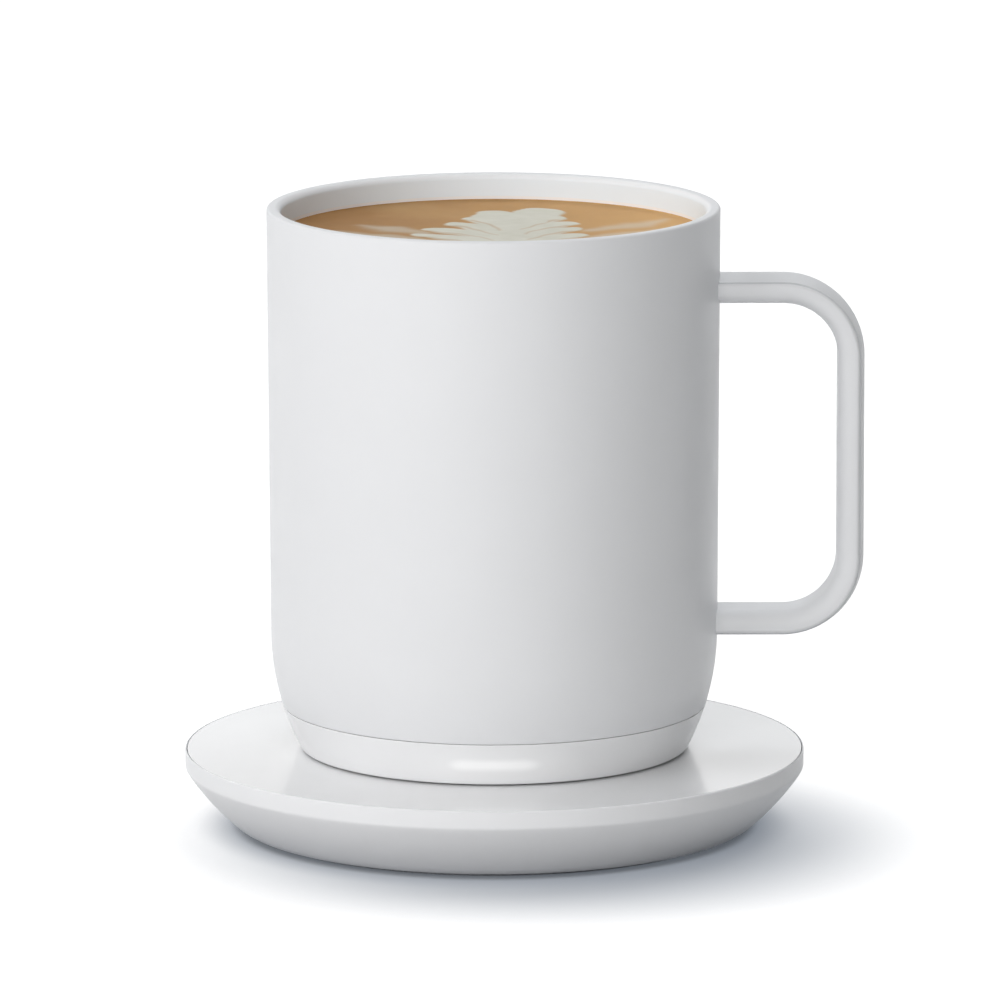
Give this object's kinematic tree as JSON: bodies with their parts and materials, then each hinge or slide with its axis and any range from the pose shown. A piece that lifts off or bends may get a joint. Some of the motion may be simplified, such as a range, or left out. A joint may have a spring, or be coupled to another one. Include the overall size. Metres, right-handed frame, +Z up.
{
  "type": "self-heating mug on a charging coaster",
  "caption": "Straight-sided double-wall mug with a squared loop handle, heater, batteries and light bar in its base, standing on a round sprung-contact charging coaster.",
  "frame": {"origin": "middle of the underside of the coaster's foot pad", "axes": "+Z up along the mug axis, +X towards the handle, -Y towards the light bar"},
  "size_m": [0.1205, 0.11, 0.111],
  "materials": {
    "mug_coat": "satin white coating",
    "cup_coat": "smooth white ceramic coating",
    "ring_plastic": "fine matt white, lit from behind at the front",
    "plate_plastic": "fine matt",
    "button_plastic": "satin",
    "soft_foot": "matt silicone",
    "seal_rubber": "matt",
    "contact_metal": "gold plated",
    "board_green": "solder mask",
    "chip_black": "moulded",
    "plug_cream": "moulded",
    "led_phosphor": "phosphor window",
    "guide_clear": "frosted, lit",
    "tray_grey": "moulded",
    "cell_sleeve": "shrink sleeve over a metal can",
    "steel": "bright",
    "lead_red": "silicone sleeve",
    "lead_black": "silicone sleeve",
    "film_amber": "polyimide film",
    "track_copper": "etched copper",
    "foam": "needled felt",
    "coaster_plastic": "satin white",
    "block_plastic": "fine matt"
  },
  "bodies": {
    "coaster": {"coaster_top": "coaster_plastic", "coaster_body": "coaster_plastic", "coaster_foot": "soft_foot", "coaster_screws": "steel", "coaster_board": "board_green", "coaster_chips": "chip_black", "contact_block": "block_plastic", "contact_gasket": "seal_rubber", "pin_spring_center": "steel", "pin_spring_outer": "steel", "dc_jack": "chip_black", "jack_pin": "steel", "jack_leads": "lead_black"},
    "mug": {"outer_shell": "mug_coat", "inner_cup": "cup_coat", "handle": "mug_coat", "base_ring": "ring_plastic", "base_seal": "seal_rubber", "base_plate": "plate_plastic", "foot_ring": "soft_foot", "contact_center": "contact_metal", "contact_ring": "contact_metal", "main_board": "board_green", "board_chips": "chip_black", "power_inductor": "chip_black", "board_connectors": "plug_cream", "led_board": "board_green", "indicator_leds": "led_phosphor", "light_guide": "guide_clear", "tact_switch": "chip_black", "battery_tray": "tray_grey", "battery_cell_front": "cell_sleeve", "battery_cell_back": "cell_sleeve", "cell_tabs": "steel", "battery_leads": "lead_red", "heater_film": "film_amber", "heater_track": "track_copper", "heater_leads": "lead_red", "insulation_pad": "foam", "temp_sensor": "chip_black", "level_strip": "film_amber", "cup_studs": "steel", "stud_nuts": "steel", "plate_screws": "steel", "board_screws": "steel", "button_seal": "seal_rubber"},
    "power_button": {"power_button": "button_plastic", "switch_plunger": "chip_black"},
    "pin_center": {"pin_center": "contact_metal"},
    "pin_outer": {"pin_outer": "contact_metal"}
  },
  "joints": [
    {"name": "mug_lift", "type": "slide", "parent": "coaster", "child": "mug", "axis": [0, 0, 1], "range_m": [0, 0.15]},
    {"name": "button_press", "type": "slide", "parent": "mug", "child": "power_button", "axis": [0, 0, 1], "range_m": [0, 0.0006], "stiffness_N_per_m": 400, "springref_m": -0.0005},
    {"name": "pin_center_press", "type": "slide", "parent": "coaster", "child": "pin_center", "axis": [0, 0, 1], "range_m": [-0.0008, 0], "stiffness_N_per_m": 300, "springref_m": 0.001, "deforming": ["pin_spring_center"]},
    {"name": "pin_outer_press", "type": "slide", "parent": "coaster", "child": "pin_outer", "axis": [0, 0, 1], "range_m": [-0.0008, 0], "stiffness_N_per_m": 300, "springref_m": 0.001, "deforming": ["pin_spring_outer"]}
  ]
}
